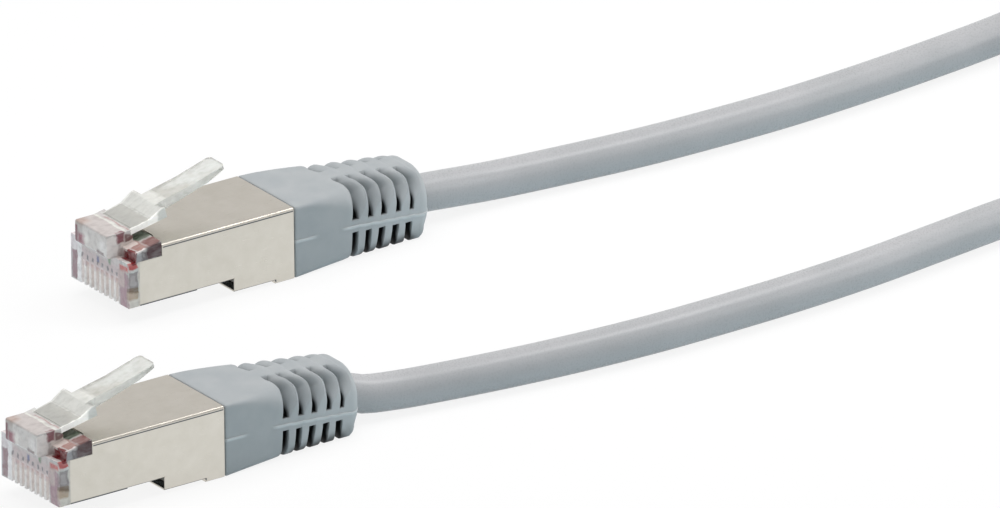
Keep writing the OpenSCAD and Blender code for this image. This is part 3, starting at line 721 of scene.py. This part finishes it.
def around(x):
    """One ring's +Y half from bottom to top: its angles, each with its share of a slot's depth, its share of
    the parting line, and how far it is above the web."""
    half, low, high, _, _ = boot_section(x)
    spine_low = math.atan2(low - HUB_Z, SPINE_HALF)
    spine_high = math.atan2(high - HUB_Z, SPINE_HALF)
    web_low = math.atan2(web_z(x) - WEB_H / 2 - HUB_Z, half)
    web_high = math.atan2(web_z(x) + WEB_H / 2 - HUB_Z, half)
    parting = math.atan2(web_z(x) - HUB_Z, half)
    start, rise, fall, end = (parting + share * EDGE_ANGLE for share in PARTING_SHARES)
    angles, cuts, line = [], [], []

    def run(a, b, count, cut, last=False, raised=0):
        angles.extend(np.linspace(a, b, count, endpoint=last))
        cuts.extend([cut] * count)
        line.extend([raised] * count)

    run(-math.pi / 2, spine_low, 3, 0)
    run(spine_low, spine_low + EDGE_ANGLE, 1, 0)
    run(spine_low + EDGE_ANGLE, web_low - EDGE_ANGLE, LOWER_POINTS, 1, True)
    run(web_low, start, 3, 0)
    run(rise, fall, 4, 0, True, 1)
    run(end, web_high, 3, 0, True)
    run(web_high + EDGE_ANGLE, spine_high - EDGE_ANGLE, UPPER_POINTS, 1, True)
    run(spine_high, math.pi / 2, 4, 0, True)
    angles, cuts, line = (np.array(values) for values in (angles, cuts, line))
    return angles, cuts, line, step(angles, web_low, web_high - web_low)


def across():
    """Rings along the boot: place, slot number or -1, side of the slot, fillet turn, whether on its floor."""
    block = list(np.linspace(SHIELD_L + 1.2, BLOCK_END - 0.8, BLOCK_RINGS))
    collar = np.linspace(COLLAR_X + 0.9, BOOT_END - COLLAR_EDGE, COLLAR_RINGS)
    rings = [(x, -1, 0, 0, False) for x in [SHIELD_L + d for d in MOUTH_RINGS] + block]
    turns = np.linspace(0, 90, FILLET_RINGS)
    for i, centre in enumerate(SLOT_CENTRES):
        rings += [(centre, i, -1, turn, False) for turn in turns]
        rings += [(centre, i, side, 90, True) for side in FLOOR_PLACES]
        rings += [(centre, i, 1, turn, False) for turn in turns[::-1]]
    return rings + [(x, -1, 0, 0, False) for x in collar]


def cut_slot(x, slot, side, turn, deep, angles, cuts, upper, outer):
    """One ring of a slot: its shift along the boot, its depth on the near and the far side, its painted
    shade.
    """
    crest = step(angles, *CREST_RUN)
    fillet = lerp(FILLET_LOW, FILLET_REAR if side > 0 else FILLET_FRONT, step(angles, *FILLET_RUN))
    turn = math.radians(turn)
    half = lerp(LOWER_HALF[slot], UPPER_HALF[slot], upper) * lerp(1, CREST_WIDTH, crest)
    shift = lerp(LOWER_SHIFT[slot], UPPER_SHIFT[slot], upper)
    shift = shift + side * (half + (0 if deep else fillet * (1 - math.sin(turn))))
    below = web_z(x) - WEB_H / 2 - HUB_Z - outer * np.sin(angles)
    shift = shift - LOWER_CURL[slot] * ease(below / CURL_H)
    wall = np.maximum(outer - core_radius(angles), 0)
    near = wall * lerp(1, CREST_DEPTH, crest)
    far = wall * lerp(1, FAR_DEPTH, step(angles, *FAR_DEPTH_RUN))
    if not deep:
        limit = lerp(FILLET_DEPTH * fillet, FILLET_CREST, crest)
        near, far = (np.minimum(limit, depth) * (1 - math.cos(turn)) for depth in (near, far))
    spine = math.atan2(TOP_Z - HUB_Z, SPINE_HALF)
    near = near * cuts * step(angles, spine - NEAR_TOP[slot], -SLOT_FADE)
    far = far * cuts * step(angles, spine, -SLOT_FADE)
    dark = cuts * step(angles, *DARK_RUN) * deep
    return shift, near, far, dark


def at_slots(x, start, values):
    """A value given for each slot, at any place: it fades to 0 towards start and the collar's rear edge."""
    return np.interp(x, [start] + SLOT_CENTRES + [BOOT_END - COLLAR_EDGE], (0,) + values + (0,))


def both_sides(far, near):
    """A whole ring from its +Y half and its -Y half, each from bottom to top."""
    return np.concatenate([far, near[-2:0:-1]])


def boot_ring(x, slot, side, turn, deep):
    """One ring of the boot's skin, with its points' painted shade and painted light."""
    angles, cuts, line, upper = around(x)
    outer = np.interp(angles, *outline(*boot_section(x)))
    outer = outer - np.interp(x - SHIELD_L, MOUTH_AT, MOUTH_INSET)
    line = line * (step(x, *PARTING_FRONT_RUN) + step(x, *PARTING_REAR_RUN))
    outer = outer + PARTING_RISE * line
    shift, cut, far_cut, dark = 0, 0, 0, np.zeros_like(outer)
    if slot >= 0:
        shift, cut, far_cut, dark = cut_slot(x, slot, side, turn, deep, angles, cuts, upper, outer)
    y, z = (outer - cut) * np.cos(angles), HUB_Z + (outer - cut) * np.sin(angles)
    far_y, far_z = (outer - far_cut) * np.cos(angles), HUB_Z + (outer - far_cut) * np.sin(angles)

    height = z - web_z(x)
    lean = min(1, (x - SHIELD_L) / (BLOCK_END - SHIELD_L)) * lerp(1, COLLAR_LEAN, step(x, *COLLAR_LEAN_RUN))
    place = x + shift + lean * np.where(height > 0, LEAN_HIGH, LEAN_LOW) * height
    near_lean = at_slots(x, BLOCK_END - CREST_REACH, NEAR_CREST) * step(angles, *NEAR_LEAN_RUN)
    far_edge = at_slots(x, BLOCK_END - EDGE_REACH, FAR_EDGE)
    far_crest = at_slots(x, BLOCK_END - CREST_REACH, FAR_CREST)
    far_lean = lerp(far_edge, far_crest, step(angles, *FAR_CREST_RUN)) * step(angles, *FAR_LEAN_RUN)
    far = np.stack([place - far_lean, far_y, far_z], 1)
    near = np.stack([place - near_lean, -y, z], 1)

    # painted shade low under the ribs and the collar
    if BLOCK_END + 1 < x < COLLAR_X + 0.5:
        dark = np.maximum(dark, RIB_SHADE * step(z, *RIB_SHADE_RUN))
    if x > COLLAR_X + 0.5:
        dark = np.maximum(dark, COLLAR_SHADE * step(z, *COLLAR_SHADE_RUN))
    # painted light on the ribs' sides, and paler along the raised parting line
    pale = RIB_PALE * step(x, *RIB_PALE_RUN) * step(angles, *PALE_RUN) * step(z, *SIDE_PALE_RUN)
    pale = np.maximum(line, pale)
    return both_sides(far, near), both_sides(dark, dark), both_sides(pale, pale)


def close_collar(last):
    """Rings that round the collar's rear edge off behind the skin's last ring and run back into the bore."""
    above = step(last[:, 2], *COLLAR_EDGE_RUN)
    edge = lerp(COLLAR_EDGE_LOW, COLLAR_EDGE, above)
    end_x = BOOT_END + lerp(BULGE_LOW, BULGE, above)
    reach = np.hypot(last[:, 1], last[:, 2] - HUB_Z)
    rings = []
    for turn in np.radians(np.linspace(0, 90, EDGE_RINGS)[1:]):
        share = (reach - edge * (1 - math.cos(turn))) / reach
        x = lerp(last[:, 0], end_x, math.sin(turn))
        rings.append(np.stack([x, last[:, 1] * share, HUB_Z + (last[:, 2] - HUB_Z) * share], 1))
    turn = np.arctan2(rings[-1][:, 2] - HUB_Z, rings[-1][:, 1])
    bore = CORD_R + BORE_GAP
    for x, r in ((BOOT_END, bore + BORE_RIM), (BOOT_END - BORE_RIM, bore), (BOOT_END - BORE_DEPTH, bore)):
        rings.append(np.stack([np.full_like(turn, x), r * np.cos(turn), CORD_Z + r * np.sin(turn)], 1))
    return rings


def boot_points():
    """One closed skin: block, ribs, slots down to the core, side webs, spines and the rounded collar."""
    rings, darks, pales = (list(values) for values in zip(*(boot_ring(*ring) for ring in across())))
    last = rings[-1]
    last[:, 0] -= COLLAR_FOOT * step(last[:, 2], *COLLAR_FOOT_RUN)
    ends = close_collar(last)
    darks += darks[-1:] * len(ends)
    pales += pales[-1:] * len(ends)
    return rings + ends, np.concatenate(darks), np.concatenate(pales)


def add_boot(side, material):
    rings, dark, pale = boot_points()
    sides = len(rings[0])
    points = np.vstack(rings) + plug_origin(side)
    faces = grid_faces(len(rings), sides)
    faces.append(tuple(range(sides))[::-1])
    boot = make_piece(f"boot_skin_{side}", points, faces, material, shares={"depth": dark, "pale": pale})
    boot.data.set_sharp_from_angle(angle=math.radians(40))
    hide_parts(f"boot_{side}")


# ---------------------------------------------------------------- CAD nodes

# Widths of the small rounded edges
HOUSING_EDGE = 0.12
LATCH_EDGE = 0.18


def soften(node, width):
    """Small rounded edges on a CAD node, through modifiers alone."""
    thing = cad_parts[node]
    flat = thing.modifiers.new("flat", "DECIMATE")
    flat.decimate_type = "DISSOLVE"
    flat.angle_limit = math.radians(1)
    edges = thing.modifiers.new("edges", "BEVEL")
    edges.width = width * MM
    edges.segments = 2
    edges.limit_method = "ANGLE"
    edges.angle_limit = math.radians(30)
    edges.harden_normals = True


def paint(node, material):
    """Give a CAD node its material and slot."""
    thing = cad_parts[node]
    thing.data.materials.clear()
    thing.data.materials.append(material)


# ---------------------------------------------------------------- stage

# The floor's linear colour in bounced light and to the camera, and the glow that camera and mirrors see on it
FLOOR_BOUNCE = (0.61, 0.74, 0.79, 1)
FLOOR_SEEN = (0.85, 0.85, 0.85, 1)
FLOOR_GLOW_SEEN = 0.86
FLOOR_GLOW_MIRRORED = 0.8
FLOOR_REACH = 3.0
# The world's strength as light, and in mirrors on its bright and its shaded side, and where along Y, from -1
# to 1, the shaded side gives way to the bright one
WORLD_LIGHT = 0.42
WORLD_GLOSS = 0.75
WORLD_SHADE = 0.2
SHADE_FROM = -0.6
SHADE_TO = -0.1


def add_floor():
    """A wide white floor, not part of the object, that carries soft shadows."""
    s = Shader("floor")
    s.nodes.remove(s.surface)
    rays = s.add("ShaderNodeLightPath").outputs
    seen = s.times(rays["Is Camera Ray"], FLOOR_GLOW_SEEN)
    mirrored = s.math("MAXIMUM", rays["Is Glossy Ray"], rays["Is Transmission Ray"])
    share = s.math("MAXIMUM", seen, s.times(mirrored, FLOOR_GLOW_MIRRORED))
    colour = s.mix(rays["Is Camera Ray"], FLOOR_BOUNCE, FLOOR_SEEN)
    plain = s.add("ShaderNodeBsdfDiffuse", {"Color": colour}).outputs[0]
    glow = s.add("ShaderNodeEmission", {"Color": (1, 1, 1, 1), "Strength": 1.0}).outputs[0]
    both = s.add("ShaderNodeMixShader", {0: share, 1: plain, 2: glow}).outputs[0]
    s.put(s.output, "Surface", both)
    mesh = bpy.data.meshes.new("floor")
    corners = [(x * FLOOR_REACH, y * FLOOR_REACH, 0) for x, y in ((-1, -1), (1, -1), (1, 1), (-1, 1))]
    mesh.from_pydata(corners, [], [(0, 1, 2, 3)])
    mesh.materials.append(s.material)
    floor = bpy.data.objects.new("floor", mesh)
    bpy.context.scene.collection.objects.link(floor)


def add_world():
    """A white studio: full white to the camera and through glass, dim as light, shaded in mirrors to -Y."""
    world = bpy.data.worlds.new("studio")
    world.use_nodes = True
    nodes, links = world.node_tree.nodes, world.node_tree.links

    def join(operation, first, second):
        node = nodes.new("ShaderNodeMath")
        node.operation = operation
        for socket, value in zip(node.inputs, (first, second)):
            if isinstance(value, bpy.types.NodeSocket):
                links.new(value, socket)
            else:
                socket.default_value = value
        return node.outputs[0]

    rays = nodes.new("ShaderNodeLightPath").outputs
    direct = join("MAXIMUM", rays["Is Camera Ray"], rays["Is Transmission Ray"])
    split = nodes.new("ShaderNodeSeparateXYZ")
    links.new(nodes.new("ShaderNodeTexCoord").outputs["Generated"], split.inputs[0])
    shade = nodes.new("ShaderNodeMapRange")
    links.new(split.outputs["Y"], shade.inputs["Value"])
    shade.inputs["From Min"].default_value = SHADE_FROM
    shade.inputs["From Max"].default_value = SHADE_TO
    shade.inputs["To Min"].default_value = WORLD_SHADE
    shade.inputs["To Max"].default_value = WORLD_GLOSS
    mirrored = join("MULTIPLY", rays["Is Glossy Ray"], shade.outputs[0])
    back = nodes["Background"]
    back.inputs["Color"].default_value = (1, 1, 1, 1)
    links.new(join("MAXIMUM", join("MAXIMUM", direct, mirrored), WORLD_LIGHT), back.inputs["Strength"])
    bpy.context.scene.world = world


def add_lamp(name, at, target, size, power):
    """A rectangular lamp: its place, what it points at, its two sides, and its power in watts."""
    data = bpy.data.lights.new(name, "AREA")
    data.shape = "RECTANGLE"
    data.size, data.size_y = size[0] * MM, size[1] * MM
    data.energy = power
    lamp = bpy.data.objects.new(name, data)
    where, aim = Vector(at) * MM, Vector(target) * MM
    lamp.matrix_world = Matrix.Translation(where) @ (where - aim).to_track_quat("Z", "Y").to_matrix().to_4x4()
    bpy.context.scene.collection.objects.link(lamp)
    return lamp


def add_lights():
    """Soft light from above that metal doesn't mirror, glints for the shields and the cords, and a fill."""
    overhead = add_lamp("overhead", (20, 60, 420), (30, 0, 0), (420, 320), 1.35)
    overhead.visible_glossy = False
    add_lamp("edge_light", (225, -70, 360), (15, 0, 5), (120, 70), 0.16)
    add_lamp("near_fill", (420, -200, 170), (30, 0, 0), (400, 240), 0.55)
    add_lamp("cord_light", (310, -31, 360), (90, 0, 0), (200, 30), 0.115)


# ---------------------------------------------------------------- assembly

WIRES = {"orange": (225, 150, 80), "green": (70, 130, 80), "blue": (70, 95, 160), "brown": (120, 85, 60)}

add_camera()
jacket = jacket_material()
add_cord(jacket)

boot_plastic = boot_material()
gold = plain_material("gold_contacts", (222, 206, 176), 0.35, 1.0)
braid_metal = plain_material("braid_metal", (190, 192, 195), 0.4, 1.0)
red = plain_material("red_plastic", (190, 40, 45), 0.3)
wires = {name: plain_material(f"wire_{name}", rgb, 0.35) for name, rgb in WIRES.items()}

for side in SIDES:
    add_boot(side, boot_plastic)
    paint(f"housing_{side}", clear_material(f"clear_body_{side}", side, **HOUSING_LOOK))
    paint(f"latch_{side}", clear_material(f"clear_latch_{side}", side, **LATCH_LOOK))
    paint(f"shield_{side}", shield_material(side))
    paint(f"contacts_{side}", gold)
    paint(f"load_bar_{side}", red)
    paint(f"braid_{side}", braid_metal)
    paint(f"cable_end_{side}", jacket)
    for name, material in wires.items():
        paint(f"{name}_pair_{side}", material)
    soften(f"housing_{side}", HOUSING_EDGE)
    soften(f"latch_{side}", LATCH_EDGE)

add_floor()
add_world()
add_lights()
